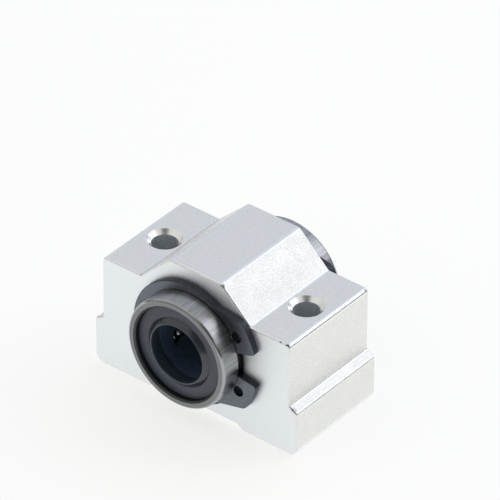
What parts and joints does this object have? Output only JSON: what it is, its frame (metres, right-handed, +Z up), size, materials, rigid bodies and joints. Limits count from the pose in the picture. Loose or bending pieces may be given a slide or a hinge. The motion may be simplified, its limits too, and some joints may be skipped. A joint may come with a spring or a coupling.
{
  "type": "linear bearing block",
  "caption": "Aluminium pillow block with a flat base, countersunk bolt holes on its shoulders and a sealed recirculating ball sleeve held by snap rings.",
  "frame": {"origin": "centre of the underside, below the middle of the bearing", "axes": "+X from foot to foot, +Y along the bearing's bore towards the rear end, +Z up from the mounting base"},
  "size_m": [0.04, 0.029, 0.026],
  "materials": {
    "aluminium_body": "satin, bead blasted and clear anodised",
    "bearing_steel": "ground",
    "ball_steel": "polished",
    "end_ring_steel": "black oxide",
    "spring_steel": "black phosphate",
    "seal_rubber": "satin",
    "retainer_plastic": "moulded"
  },
  "bodies": {
    "root": {"housing": "aluminium_body", "bearing_sleeve": "bearing_steel", "ball_retainer": "retainer_plastic", "front_end_ring": "end_ring_steel", "rear_end_ring": "end_ring_steel", "front_seal": "seal_rubber", "rear_seal": "seal_rubber", "front_snap_ring": "spring_steel", "rear_snap_ring": "spring_steel", "ball_circuit_1": "ball_steel", "ball_circuit_2": "ball_steel", "ball_circuit_3": "ball_steel", "ball_circuit_4": "ball_steel"}
  },
  "joints": []
}
